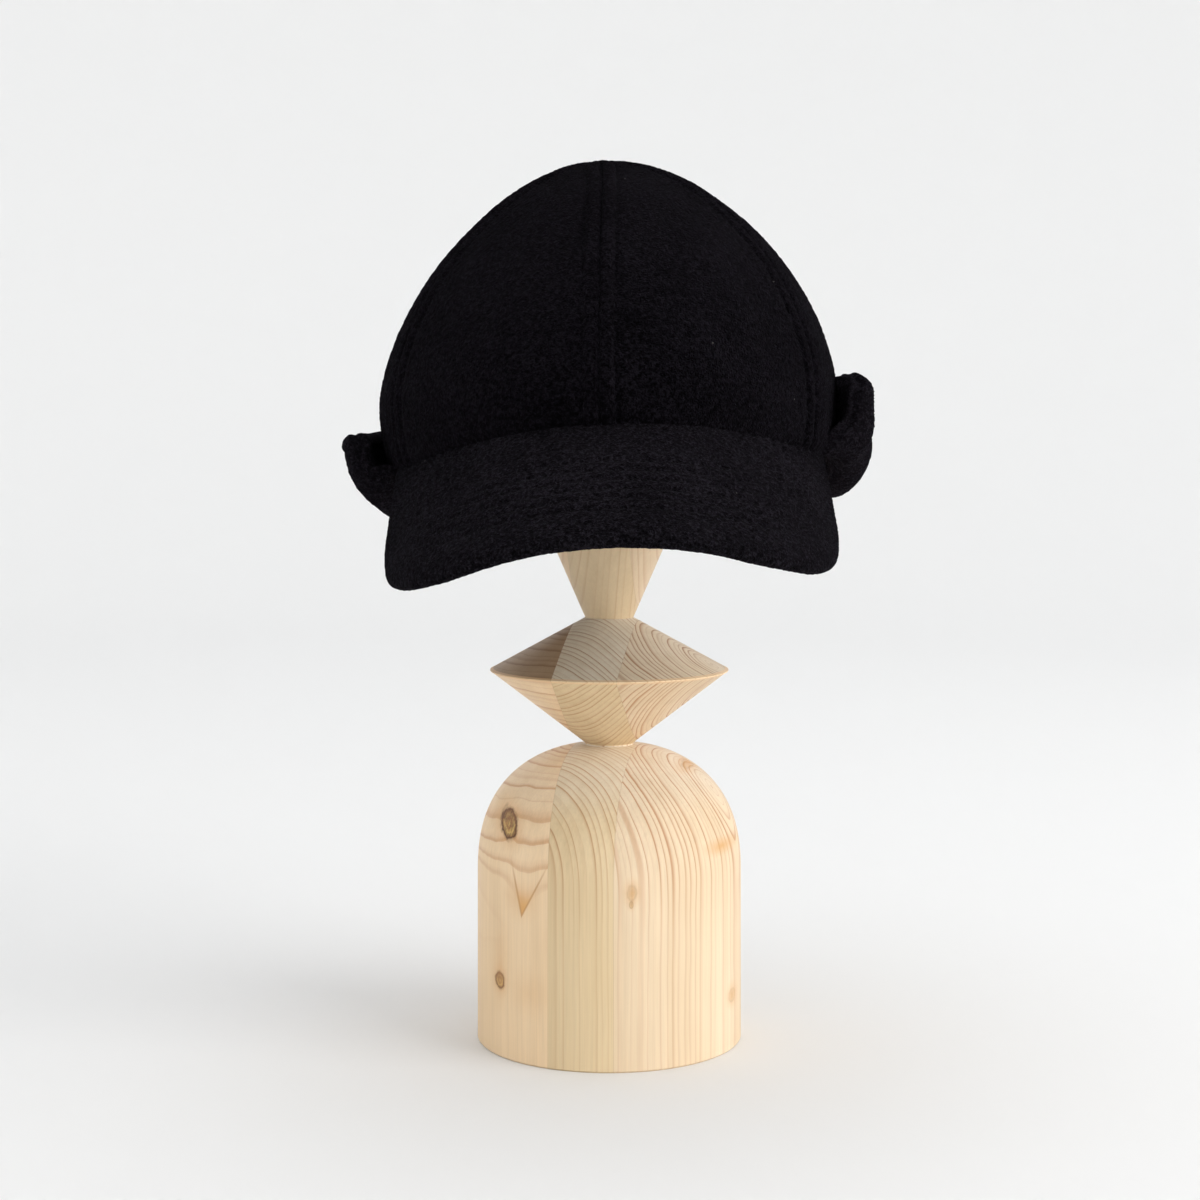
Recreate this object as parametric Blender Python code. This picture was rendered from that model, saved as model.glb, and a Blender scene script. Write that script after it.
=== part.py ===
"""Earflap cap of thick wool cloth, standing on a turned wooden hat stand.

Lengths are metres, +Z is up, and the origin is the centre of the stand's flat foot. The cap's
peak points along -Y. The cap is modelled upright round its own rim, and the empty "cap" then
tips it to one side, as it sits on the stand.
"""

import math

import bmesh
import bpy
from mathutils import Matrix, Vector

# Clearance between pieces that meet
GAP = 0.0003

# Stand: a cylinder with a domed top, a double cone, and an inverted cone with a round head
BASE_RADIUS = 0.050
BASE_WALL_HEIGHT = 0.0637
FOOT_BEVEL = 0.0006
DOME_RISE = 0.0473
DOME_POWER = 2.36
NECK_RADIUS = 0.0092
RIM_RADIUS = 0.0453
LOWER_CONE_RISE = 0.0280
UPPER_CONE_RISE = 0.0198
RIM_EDGE = 0.0008
HEAD_RADIUS = 0.052
HEAD_CONE_HALF_ANGLE = math.radians(23.5)

# Cap: its rim plane stands above the foot and leans to one side
CAP_RIM_HEIGHT = 0.2189
CAP_SHIFT = 0.0006
CAP_LEAN = math.radians(2.4)
CAP_TURN = math.radians(-0.8)

# Crown: six panels of thick cloth
CROWN_HALF_WIDTH = 0.0867
CROWN_HALF_LENGTH = 0.1005
CROWN_HEIGHT = 0.1130
CROWN_WALL = 0.0030
CROWN_POWER = 1.70
CROWN_WIDEST_HEIGHT = 0.023
CROWN_RIM_PULL_SHARE = 0.035
CROWN_SWAY = 0.0030
CROWN_TIP_SHIFT = -0.0045
CROWN_TIP_POWER = 6
PANEL_ANGLE = math.radians(60)
PANEL_TURN = math.radians(-1.2)
RIDGE_WIDTH = 0.0064
RIDGE_LIFT = 0.0012

# Peak: a flat outline bent round a cylinder that slopes down to the front
PEAK_SLOPE = math.radians(30)
PEAK_BEND_EXTRA = 0.0038
PEAK_BEND_RADIUS = CROWN_HALF_WIDTH + PEAK_BEND_EXTRA
PEAK_LENGTH = 0.0690
PEAK_OVERHANG = 0.0108
PEAK_HALF_WIDTH = CROWN_HALF_WIDTH + PEAK_OVERHANG
PEAK_FRONT_RADIUS = 0.175
PEAK_CORNER_RADIUS = 0.070
PEAK_THICKNESS = 0.0054
PEAK_RISE = 0.0125
PEAK_END_ANGLE = math.radians(67)
PEAK_SEAT = 0.0012

# Earflap: a band of doubled cloth, down from the rim, round a fold and up again
FLAP_START_ANGLE = math.radians(69.8)
FLAP_THICKNESS = 0.0056
FLAP_SEAM_THICKNESS = 0.0034
FLAP_EDGE_THICKNESS = 0.0104
FLAP_EDGE_WIDTH = 0.0075
FLAP_DROP = 0.0085
FLAP_FOLD_RADIUS = 0.0068
FLAP_HEIGHT = 0.0282
FLAP_CORNER_RADIUS = 0.018
FLAP_CORNER_CUT_SHARE = 0.35

# How finely round shapes are divided
TURNED_SIDES = 44
DOME_STEPS = 9
PANEL_ROWS = 12
PANEL_MIDDLE_COLUMNS = 7
PEAK_COLUMNS = 26
FLAP_STATIONS = 11
FLAP_FOLD_STEPS = 5

# Across a seam ridge: distance from the seam (share of RIDGE_WIDTH), lift (share of RIDGE_LIFT)
RIDGE_COLUMNS = (
    (0.00, -0.25),
    (0.18, 0.55),
    (0.48, 1.00),
    (0.80, 0.50),
    (1.00, -0.20),
    (1.35, 0.00),
)

# Along the peak, from the crown to its edge: share of the way
PEAK_ROWS = (0.0, 0.22, 0.44, 0.66, 0.84)

# Across the peak's rounded edge: distance from the edge and half thickness, both as shares
# of half the peak's thickness
PEAK_EDGE_ROWS = (
    (1.15, 1.00),
    (0.45, 0.86),
    (0.00, 0.42),
)

# Across the flap's padded edge, at its front end and along its top: distance from the edge
# (share of FLAP_EDGE_WIDTH), half thickness (0 is the band's own, 1 is the padded edge's)
FLAP_EDGE_ROWS = (
    (1.55, 0.00),
    (1.05, -0.10),
    (0.80, 0.55),
    (0.52, 1.00),
    (0.20, 0.72),
    (0.00, -0.50),
)

# Round the earflap, from its front end (0) to the seam at the back (1): way along, drop before
# the fold (share of FLAP_DROP), radius of the fold (share of FLAP_FOLD_RADIUS), lean of the
# turned-up cloth in degrees, height above the rim (share of FLAP_HEIGHT)
FLAP_RIGHT_SECTIONS = (
    (0.00, 0.15, 0.92, 3.0, 0.90),
    (0.08, 0.60, 0.94, 4.0, 0.98),
    (0.20, 1.00, 0.94, 5.0, 1.00),
    (0.45, 1.10, 0.95, 6.0, 1.00),
    (0.75, 1.00, 0.98, 8.0, 0.94),
    (1.00, 0.95, 1.00, 9.0, 0.90),
)
FLAP_LEFT_SECTIONS = (
    (0.00, 0.10, 0.72, 18.0, 0.44),
    (0.08, 0.55, 0.67, 19.0, 0.50),
    (0.20, 0.85, 0.66, 17.0, 0.50),
    (0.45, 1.00, 0.80, 13.0, 0.56),
    (0.75, 1.00, 0.92, 11.0, 0.80),
    (1.00, 0.95, 1.00, 9.0, 0.90),
)

NECK_LOW = BASE_WALL_HEIGHT + DOME_RISE
RIM_HEIGHT = NECK_LOW + LOWER_CONE_RISE
NECK_HIGH = RIM_HEIGHT + UPPER_CONE_RISE
HEAD_SHOULDER = NECK_HIGH + (HEAD_RADIUS - NECK_RADIUS) / math.tan(HEAD_CONE_HALF_ANGLE)


def clear_scene():
    for item in list(bpy.data.objects):
        bpy.data.objects.remove(item, do_unlink=True)


def make_material(name, colour, roughness):
    material = bpy.data.materials.new(name)
    material.use_nodes = True
    shader = material.node_tree.nodes["Principled BSDF"]
    shader.inputs["Base Color"].default_value = (*colour, 1.0)
    shader.inputs["Roughness"].default_value = roughness
    shader.inputs["Metallic"].default_value = 0.0
    return material


def finish_object(name, bm, material, parent=None, sharp_angle=40):
    """Closes a bmesh into a named object with outward faces and smooth shading."""
    bmesh.ops.recalc_face_normals(bm, faces=bm.faces)
    mesh = bpy.data.meshes.new(name)
    bm.to_mesh(mesh)
    bm.free()
    mesh.shade_smooth()
    mesh.set_sharp_from_angle(angle=math.radians(sharp_angle))
    mesh.materials.append(material)
    piece = bpy.data.objects.new(name, mesh)
    bpy.context.scene.collection.objects.link(piece)
    piece.parent = parent
    return piece


def turned(name, profile, material):
    """Spins a profile of (radius, height) points, from foot to top, round the Z axis."""
    bm = bmesh.new()
    points = [bm.verts.new((radius, 0, height)) for radius, height in profile]
    edges = [bm.edges.new(pair) for pair in zip(points, points[1:])]
    bmesh.ops.spin(bm, geom=points + edges, cent=(0, 0, 0), axis=(0, 0, 1),
                   angle=2 * math.pi, steps=TURNED_SIDES, use_merge=True)
    bmesh.ops.remove_doubles(bm, verts=bm.verts, dist=0.00001)
    return finish_object(name, bm, material)


def rounded_rise(power, turn):
    """Shares of radius and of rise on a rounded profile, at a turn from 0 to a right angle."""
    return max(math.cos(turn), 0.0) ** (2 / power), max(math.sin(turn), 0.0) ** (2 / power)


def make_stand_base(material):
    profile = [(0, 0), (BASE_RADIUS - FOOT_BEVEL, 0), (BASE_RADIUS, FOOT_BEVEL)]
    last_turn = math.acos((NECK_RADIUS / BASE_RADIUS) ** (DOME_POWER / 2))
    for step in range(DOME_STEPS + 1):
        across, up = rounded_rise(DOME_POWER, last_turn * step / DOME_STEPS)
        profile.append((BASE_RADIUS * across, BASE_WALL_HEIGHT + (DOME_RISE - GAP) * up))
    profile.append((0, profile[-1][1]))
    return turned("stand_base", profile, material)


def make_stand_double_cone(material):
    profile = [(0, NECK_LOW), (NECK_RADIUS, NECK_LOW),
               (RIM_RADIUS, RIM_HEIGHT - RIM_EDGE), (RIM_RADIUS, RIM_HEIGHT + RIM_EDGE),
               (NECK_RADIUS, NECK_HIGH - GAP), (0, NECK_HIGH - GAP)]
    return turned("stand_double_cone", profile, material)


def make_stand_head(material, top):
    profile = [(0, NECK_HIGH), (NECK_RADIUS, NECK_HIGH)]
    for step in range(DOME_STEPS):
        across, up = rounded_rise(2, math.pi / 2 * step / DOME_STEPS)
        profile.append((HEAD_RADIUS * across, HEAD_SHOULDER + (top - HEAD_SHOULDER) * up))
    profile.append((0, top))
    return turned("stand_head", profile, material)


def crown_plan(angle, height, inset):
    """Where the crown's wall stands over the plan, at an angle from the front."""
    below = max(CROWN_WIDEST_HEIGHT - height, 0) / CROWN_WIDEST_HEIGHT
    share = 1 - CROWN_RIM_PULL_SHARE * below ** 2
    return ((CROWN_HALF_WIDTH - inset) * share * math.sin(angle),
            -(CROWN_HALF_LENGTH - inset) * share * math.cos(angle))


def peak_point(across, forward, sink=0.0):
    """A point of the peak from its flat outline, sunk below the upper face."""
    bend = across / PEAK_BEND_RADIUS
    radius = PEAK_BEND_RADIUS - sink
    fall = PEAK_BEND_RADIUS - radius * math.cos(bend)
    return Vector((radius * math.sin(bend),
                   -PEAK_START - forward * math.cos(PEAK_SLOPE) + fall * math.sin(PEAK_SLOPE),
                   PEAK_RISE - forward * math.sin(PEAK_SLOPE) - fall * math.cos(PEAK_SLOPE)))


def peak_flat(x, y):
    """Where a point of the plan lies on the peak's flat outline."""
    bend = math.asin(x / PEAK_BEND_RADIUS)
    fall = PEAK_BEND_RADIUS * (1 - math.cos(bend))
    forward = (fall * math.sin(PEAK_SLOPE) - PEAK_START - y) / math.cos(PEAK_SLOPE)
    return PEAK_BEND_RADIUS * bend, forward


def rim_height(angle):
    """Height of the crown's lower edge: level, but raised over the peak at the front."""
    angle = math.remainder(angle, 2 * math.pi)
    if abs(angle) > PEAK_END_ANGLE:
        return 0.0
    height = PEAK_RISE
    for _ in range(12):
        height = peak_point(*peak_flat(*crown_plan(angle, height, PEAK_SEAT))).z
    return max(height, 0.0) + GAP


PEAK_START = -crown_plan(0, PEAK_RISE, 0)[1]


def crown_point(angle, way, inset):
    """A point of the crown's wall: way is 0 at the rim and 1 at the top."""
    rise = CROWN_HEIGHT - CROWN_WIDEST_HEIGHT
    low = max(CROWN_WIDEST_HEIGHT - rim_height(angle), 0)
    start = -math.asin((low / rise) ** (CROWN_POWER / 2))
    turn = start + (math.pi / 2 - start) * way
    if turn < 0:
        height = CROWN_WIDEST_HEIGHT - rise * math.sin(-turn) ** (2 / CROWN_POWER)
        x, y = crown_plan(angle, height, inset)
        return Vector((x, y, height))
    across, up = rounded_rise(CROWN_POWER, turn)
    x, y = crown_plan(angle, CROWN_WIDEST_HEIGHT, inset)
    sway = CROWN_SWAY * up + CROWN_TIP_SHIFT * (1 - across) ** CROWN_TIP_POWER
    return Vector((x * across + sway, y * across,
                   CROWN_WIDEST_HEIGHT + (rise - inset) * up))


def panel_columns(half_width):
    """Distances from one seam to the next, as shares of the panel, with each one's lift."""
    scale = min(half_width / (RIDGE_COLUMNS[-1][0] * RIDGE_WIDTH * 1.3), 1)
    columns = [(share * RIDGE_WIDTH * scale / (2 * half_width), lift * RIDGE_LIFT * scale)
               for share, lift in RIDGE_COLUMNS]
    inner = columns[-1][0]
    step = (1 - 2 * inner) / (PANEL_MIDDLE_COLUMNS + 1)
    middle = [(inner + step * (count + 1), 0.0) for count in range(PANEL_MIDDLE_COLUMNS)]
    return columns + middle + [(1 - share, lift) for share, lift in reversed(columns)]


def panel_rows(first_angle, inset):
    """Rows of points on one face of a panel, from the rim up, and the point at its tip."""
    middle = first_angle + PANEL_ANGLE / 2
    tip = crown_point(middle, 1, inset)
    rows = []
    for count in range(PANEL_ROWS):
        way = count / PANEL_ROWS
        out = (crown_point(middle, way, inset) - tip).to_2d().length
        half_width = out * PANEL_ANGLE / 2
        trim = GAP / 2 / out
        row = []
        for share, lift in panel_columns(half_width):
            angle = first_angle + trim + (PANEL_ANGLE - 2 * trim) * share
            row.append(crown_point(angle, way, inset if inset else -lift))
        rows.append(row)
    tip.xy += Vector((math.sin(middle), -math.cos(middle))) * GAP
    return rows, tip


def make_panel(name, first_angle, material, cap):
    outer, outer_tip = panel_rows(first_angle, 0.0)
    inner, inner_tip = panel_rows(first_angle, CROWN_WALL)
    bm = bmesh.new()
    walls = [[[bm.verts.new(point) for point in row] for row in rows] for rows in (outer, inner)]
    tips = [bm.verts.new(outer_tip), bm.verts.new(inner_tip)]
    for wall, tip in zip(walls, tips):
        for low, high in zip(wall, wall[1:]):
            for at in range(len(low) - 1):
                bm.faces.new((low[at], low[at + 1], high[at + 1], high[at]))
        for at in range(len(wall[-1]) - 1):
            bm.faces.new((wall[-1][at], wall[-1][at + 1], tip))
    out, into = walls
    for at in range(len(out[0]) - 1):
        bm.faces.new((out[0][at], into[0][at], into[0][at + 1], out[0][at + 1]))
    for side in (0, -1):
        for row in range(len(out) - 1):
            bm.faces.new((out[row][side], out[row + 1][side], into[row + 1][side], into[row][side]))
        bm.faces.new((out[-1][side], tips[0], tips[1], into[-1][side]))
    return finish_object(name, bm, material, cap)


def peak_outline(share):
    """A point of the flat outline: share runs from -1 at one end, by 0 in front, to 1."""
    side = math.copysign(1.0, share)
    front_centre = PEAK_LENGTH - PEAK_FRONT_RADIUS
    corner_across = PEAK_HALF_WIDTH - PEAK_CORNER_RADIUS
    reach = PEAK_FRONT_RADIUS - PEAK_CORNER_RADIUS
    turn = math.asin(corner_across / reach)
    corner_forward = front_centre + reach * math.cos(turn)
    end = peak_flat(*crown_plan(PEAK_END_ANGLE, 0, PEAK_SEAT))[1]
    front_run = PEAK_FRONT_RADIUS * turn
    corner_run = PEAK_CORNER_RADIUS * (math.pi / 2 - turn)
    side_run = corner_forward - end
    run = abs(share) * (front_run + corner_run + side_run)
    if run < front_run:
        angle = run / PEAK_FRONT_RADIUS
        return (side * PEAK_FRONT_RADIUS * math.sin(angle),
                front_centre + PEAK_FRONT_RADIUS * math.cos(angle))
    if run < front_run + corner_run:
        angle = turn + (run - front_run) / PEAK_CORNER_RADIUS
        return (side * (corner_across + PEAK_CORNER_RADIUS * math.sin(angle)),
                corner_forward + PEAK_CORNER_RADIUS * math.cos(angle))
    return side * PEAK_HALF_WIDTH, corner_forward - (run - front_run - corner_run)


def make_peak(material, cap):
    half = PEAK_THICKNESS / 2
    bm = bmesh.new()
    faces = []
    for side in (-1, 1):
        grid = []
        for column in range(PEAK_COLUMNS + 1):
            share = 2 * column / PEAK_COLUMNS - 1
            back = crown_plan(share * PEAK_END_ANGLE, rim_height(share * PEAK_END_ANGLE),
                              PEAK_SEAT)
            start = Vector(peak_flat(*back))
            way = Vector(peak_outline(share)) - start
            stops = [(way.length - PEAK_EDGE_ROWS[0][0] * half) * row for row in PEAK_ROWS]
            places = [(stop, 1.0) for stop in stops]
            places += [(way.length - share_in * half, thick) for share_in, thick in PEAK_EDGE_ROWS]
            line = []
            for stop, thick in places:
                flat = start + way.normalized() * stop
                line.append(bm.verts.new(peak_point(*flat, half + side * half * thick)))
            grid.append(line)
        for left, right in zip(grid, grid[1:]):
            for at in range(len(left) - 1):
                bm.faces.new((left[at], right[at], right[at + 1], left[at + 1]))
        faces.append(grid)
    upper, lower = faces
    for at in range(len(upper) - 1):
        for end in (0, -1):
            bm.faces.new((upper[at][end], upper[at + 1][end], lower[at + 1][end], lower[at][end]))
    for end in (0, -1):
        for at in range(len(upper[0]) - 1):
            bm.faces.new((upper[end][at], upper[end][at + 1], lower[end][at + 1], lower[end][at]))
    return finish_object("peak", bm, material, cap)


def blend_rows(table, way):
    """The row of a table at a way along it, eased between the rows on both sides."""
    for low, high in zip(table, table[1:]):
        if way <= high[0]:
            share = (way - low[0]) / (high[0] - low[0])
            share = share * share * (3 - 2 * share)
            return [a + (b - a) * share for a, b in zip(low[1:], high[1:])]
    return list(table[-1][1:])


def flap_section(drop, radius, lean, height, end_puff):
    """The band's outline at one place, as (out, up) points round it, from its seam."""
    sweep = math.pi - lean
    fold_out = radius - radius * math.cos(sweep)
    fold_up = -drop - radius * math.sin(sweep)
    rise = max((height - fold_up) / math.cos(lean), FLAP_EDGE_WIDTH * 1.7)
    extra = (FLAP_EDGE_THICKNESS - FLAP_THICKNESS) / 2
    line = [((0, -GAP), (0, -1), FLAP_SEAM_THICKNESS / 2),
            ((0, -GAP - drop * 0.55), (0, -1), FLAP_THICKNESS / 2)]
    for step in range(FLAP_FOLD_STEPS + 1):
        turn = sweep * step / FLAP_FOLD_STEPS
        place = (radius - radius * math.cos(turn), -GAP - drop - radius * math.sin(turn))
        half = FLAP_THICKNESS / 2 + end_puff * extra * step / FLAP_FOLD_STEPS
        line.append((place, (math.sin(turn), -math.cos(turn)), half))
    ahead = (math.sin(sweep), -math.cos(sweep))
    for share, puff in FLAP_EDGE_ROWS:
        run = rise - share * FLAP_EDGE_WIDTH
        place = (fold_out + ahead[0] * run, fold_up + ahead[1] * run)
        puff = max(puff, end_puff) if min(puff, end_puff) >= 0 else min(puff, end_puff)
        line.append((place, ahead, FLAP_THICKNESS / 2 + puff * extra))
    sides = []
    for side in (-1, 1):
        sides.append([(place[0] - side * way[1] * half, place[1] + side * way[0] * half)
                      for place, way, half in line])
    return sides[0] + sides[1][::-1]


def make_flap(name, side, sections, material, cap):
    """Lofts one half of the band from its front end to the seam at the back."""
    half_turn = math.asin(min(GAP / 2 / (CROWN_HALF_LENGTH * (1 - CROWN_RIM_PULL_SHARE)), 1))
    last_angle = math.pi - half_turn
    length = (last_angle - FLAP_START_ANGLE) * (CROWN_HALF_WIDTH + CROWN_HALF_LENGTH) / 2
    stations = [(share * FLAP_EDGE_WIDTH, puff) for share, puff in reversed(FLAP_EDGE_ROWS)]
    first = stations[-1][0]
    stations += [(first + (length - first) * (count + 1) / FLAP_STATIONS, 0.0)
                 for count in range(FLAP_STATIONS)]
    bm = bmesh.new()
    rings = []
    for from_end, puff in stations:
        way = from_end / length
        drop, radius, lean, height = blend_rows(sections, way)
        corner = 1 - min(from_end / FLAP_CORNER_RADIUS, 1)
        cut = FLAP_CORNER_CUT_SHARE * (1 - math.sqrt(1 - corner ** 2))
        height *= FLAP_HEIGHT * (1 - cut)
        angle = FLAP_START_ANGLE + (last_angle - FLAP_START_ANGLE) * way
        x, y = crown_plan(angle, 0, CROWN_WALL / 2)
        out = Vector((math.sin(angle) / CROWN_HALF_WIDTH,
                      -math.cos(angle) / CROWN_HALF_LENGTH)).normalized()
        ring = []
        for away, up in flap_section(drop * FLAP_DROP, radius * FLAP_FOLD_RADIUS,
                                     math.radians(lean), height, puff):
            ring.append(bm.verts.new((side * (x + out.x * away), y + out.y * away, up)))
        rings.append(ring)
    for near, far in zip(rings, rings[1:]):
        for at in range(len(near)):
            after = (at + 1) % len(near)
            bm.faces.new((near[at], near[after], far[after], far[at]))
    count = len(rings[0])
    for ring in (rings[0], rings[-1]):
        for at in range(count // 2 - 1):
            bm.faces.new((ring[at], ring[at + 1], ring[count - 2 - at], ring[count - 1 - at]))
    return finish_object(name, bm, material, cap)


def head_top(cap_pose):
    """Highest top of the stand's head that stays a gap below the crown's inner face."""
    rise = math.inf
    for count in range(6):
        rows, tip = panel_rows(count * PANEL_ANGLE + PANEL_TURN, CROWN_WALL)
        for low, high in zip(rows, rows[1:] + [[tip] * len(rows[0])]):
            for at in range(len(low) - 1):
                corners = (low[at], low[at + 1], high[at], high[at + 1])
                centre = sum(corners, Vector()) / 4
                for point in (low[at], centre):
                    place = cap_pose @ point
                    out = place.to_2d().length / HEAD_RADIUS
                    if out < 0.9:
                        room = place.z - GAP - HEAD_SHOULDER
                        rise = min(rise, room / math.sqrt(1 - out ** 2))
    return HEAD_SHOULDER + rise


def main():
    clear_scene()
    wood = make_material("pale_wood", (0.70, 0.53, 0.36), 0.55)
    wool = make_material("black_wool", (0.010, 0.009, 0.011), 0.92)
    peak_wool = make_material("peak_wool", (0.014, 0.012, 0.015), 0.92)
    flap_wool = make_material("flap_wool", (0.013, 0.010, 0.014), 0.92)

    cap = bpy.data.objects.new("cap", None)
    bpy.context.scene.collection.objects.link(cap)
    cap.location = (CAP_SHIFT, 0, CAP_RIM_HEIGHT)
    cap.rotation_euler = (0, -CAP_LEAN, CAP_TURN)
    cap_pose = Matrix.Translation(cap.location) @ cap.rotation_euler.to_matrix().to_4x4()

    for name, start in (("panel_front_right", 0), ("panel_side_right", 1),
                        ("panel_back_right", 2), ("panel_back_left", 3),
                        ("panel_side_left", 4), ("panel_front_left", 5)):
        make_panel(name, start * PANEL_ANGLE + PANEL_TURN, wool, cap)
    make_peak(peak_wool, cap)
    make_flap("ear_flap_right", 1, FLAP_RIGHT_SECTIONS, flap_wool, cap)
    make_flap("ear_flap_left", -1, FLAP_LEFT_SECTIONS, flap_wool, cap)

    make_stand_base(wood)
    make_stand_double_cone(wood)
    make_stand_head(wood, head_top(cap_pose))


main()
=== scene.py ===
"""Looks of the black wool earflap cap and its turned wooden hat stand.

Lengths are metres, +Z is up, and the peak points along -Y. The cap's cloth is shaped upright
round its own rim and then tipped onto the stand.
"""

import math

import bpy
import numpy as np
from mathutils import Euler, Matrix, Vector


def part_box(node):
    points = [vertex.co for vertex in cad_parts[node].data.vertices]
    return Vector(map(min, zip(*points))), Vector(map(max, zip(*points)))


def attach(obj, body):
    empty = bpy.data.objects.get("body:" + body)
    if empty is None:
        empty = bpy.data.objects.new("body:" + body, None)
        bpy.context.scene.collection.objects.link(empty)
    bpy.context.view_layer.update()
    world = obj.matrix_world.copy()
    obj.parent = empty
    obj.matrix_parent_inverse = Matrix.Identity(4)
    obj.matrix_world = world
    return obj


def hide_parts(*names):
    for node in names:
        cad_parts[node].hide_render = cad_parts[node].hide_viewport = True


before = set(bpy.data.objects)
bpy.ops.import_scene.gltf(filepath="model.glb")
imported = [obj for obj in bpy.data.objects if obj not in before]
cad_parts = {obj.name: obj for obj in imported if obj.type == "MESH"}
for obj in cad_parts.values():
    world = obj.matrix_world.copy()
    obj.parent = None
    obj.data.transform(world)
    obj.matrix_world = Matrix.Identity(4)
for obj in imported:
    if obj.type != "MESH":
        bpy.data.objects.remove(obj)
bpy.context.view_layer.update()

# Sizes of the cap, as the frame has them
GAP = 0.0003
CAP_POSE = (Matrix.Translation((0.0006, 0.0, 0.2189))
            @ Euler((0.0, math.radians(-2.4), math.radians(-0.8))).to_matrix().to_4x4())
CROWN_HALF_WIDTH = 0.0867
CROWN_HALF_LENGTH = 0.1005
CROWN_HEIGHT = 0.1130
CROWN_WALL = 0.0030
CROWN_POWER = 1.70
CROWN_WIDEST_HEIGHT = 0.023
CROWN_RIM_PULL = 0.035
CROWN_SWAY = 0.0030
CROWN_TIP_SHIFT = -0.0045
CROWN_TIP_POWER = 6
PANEL_ANGLE = math.radians(60)
PANEL_TURN = math.radians(-1.2)

PEAK_SLOPE = math.radians(30)
PEAK_BEND_RADIUS = 0.0905
PEAK_LENGTH = 0.0690
PEAK_HALF_WIDTH = 0.0975
PEAK_FRONT_RADIUS = 0.175
PEAK_CORNER_RADIUS = 0.070
PEAK_THICKNESS = 0.0054
PEAK_RISE = 0.0125
PEAK_END_ANGLE = math.radians(67)
PEAK_SEAT = 0.0012
PEAK_TOP_ROUND = 0.0065

FLAP_START_ANGLE = math.radians(69.8)
FLAP_THICKNESS = 0.0078
FLAP_SEAM_THICKNESS = 0.0034
FLAP_EDGE_THICKNESS = 0.0104
FLAP_EDGE_WIDTH = 0.0070
FLAP_DROP = 0.0085
FLAP_FOLD_RADIUS = 0.0068
FLAP_HEIGHT = 0.0282
FLAP_CORNER_RADIUS = 0.0085

# Round the earflap: way along, turn of its start away from straight down (degrees), drop before
# the fold (share of FLAP_DROP), radius of the tight fold and of the wide curve after it (shares of
# FLAP_FOLD_RADIUS), lean (degrees), height above the rim (share of FLAP_HEIGHT)
FLAP_SECTIONS = {
    "right": (
        (0.00, 135, 1.62, 0.50, 1.5, 7, 1.00),
        (0.05, 80, 0.72, 0.42, 1.3, -6, 1.02),
        (0.11, 18, 1.15, 0.34, 1.4, -9, 1.01),
        (0.20, 0, 1.36, 0.32, 2.1, -11, 0.99),
        (0.45, 0, 1.36, 0.34, 2.1, -9, 0.98),
        (0.75, 0, 1.20, 0.60, 1.4, -4, 0.94),
        (1.00, 0, 1.05, 0.85, 1.0, 2, 0.90),
    ),
    "left": (
        (0.00, 86, 1.10, 0.55, 0.9, 4, 0.50),
        (0.02, 45, 0.80, 0.40, 2.0, 5, 0.51),
        (0.04, 12, 1.05, 0.28, 3.2, 6, 0.51),
        (0.07, -4, 1.35, 0.24, 4.5, 7, 0.51),
        (0.20, -8, 1.62, 0.22, 4.8, 7, 0.51),
        (0.45, 0, 1.50, 0.30, 3.0, 4, 0.57),
        (0.75, 0, 1.20, 0.60, 1.6, 1, 0.80),
        (1.00, 0, 1.05, 0.85, 1.0, 2, 0.90),
    ),
}
FLAP_KNEE = math.radians(128)
FLAP_LENGTH = (math.pi - FLAP_START_ANGLE) * (CROWN_HALF_WIDTH + CROWN_HALF_LENGTH) / 2
FLAP_COLUMNS, FLAP_ROWS, FLAP_EDGE_STEPS = 196, 92, 11
EDGE_DENT = 0.0012

# Sewing
SEAM_LAP = 0.00015
SEAM_NARROWS = 0.011
HEM_LAP = 0.011
RIDGE_WIDTH = 0.0064
RIDGE_LIFT = 0.0011
STITCH_PITCH = 0.0031
STITCH_LENGTH = 0.0021
THREAD_RADIUS = 0.00022
GROOVE_WIDTH = 0.0010
GROOVE_DEPTH = 0.0005
NAP = 0.00013
PEAK_STITCH_ROWS = 6

# Stand
BASE_RADIUS = 0.050
BASE_WALL_HEIGHT = 0.0637
FOOT_BEVEL = 0.0006
DOME_RISE = 0.0473
DOME_POWER = 2.36
NECK_RADIUS = 0.0092
RIM_RADIUS = 0.0453
RIM_EDGE = 0.0004
LOWER_CONE_RISE = 0.0280
UPPER_CONE_RISE = 0.0198
HEAD_RADIUS = 0.052
HEAD_HALF_ANGLE = math.radians(23.5)
NECK_HEIGHT = BASE_WALL_HEIGHT + DOME_RISE
RIM_HEIGHT = NECK_HEIGHT + LOWER_CONE_RISE
HEAD_START = RIM_HEIGHT + UPPER_CONE_RISE

# The boards that the stand is turned from: how far they are turned, and their two glued seams
BOARD_TURN = math.radians(11.3)
LEFT_SEAM = -0.0132
RIGHT_SEAM = 0.0115

# Each board: pith's place (m), ring spacing (m), waviness (m), early and late wood, how deep the
# painted shade of the cap lies on its upper cone, how far its upper cone is paled, and how far a
# painted highlight pales the dome's top (shares)
BOARDS = {
    "left": ((0.002, 0.004, 0.0), 0.0032, 0.0026, (0.930, 0.710, 0.465), (0.640, 0.345, 0.165),
             0.70, 0.00, 0.25),
    "centre": ((-0.126, -0.129, 0.0), 0.0020, 0.0012, (0.800, 0.635, 0.400), (0.590, 0.355, 0.190),
               0.00, 0.65, 0.60),
    "right": ((0.0385, -0.011, 0.0), 0.0020, 0.0020, (0.845, 0.680, 0.480), (0.590, 0.330, 0.180),
              0.00, 0.35, 0.45),
}

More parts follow.
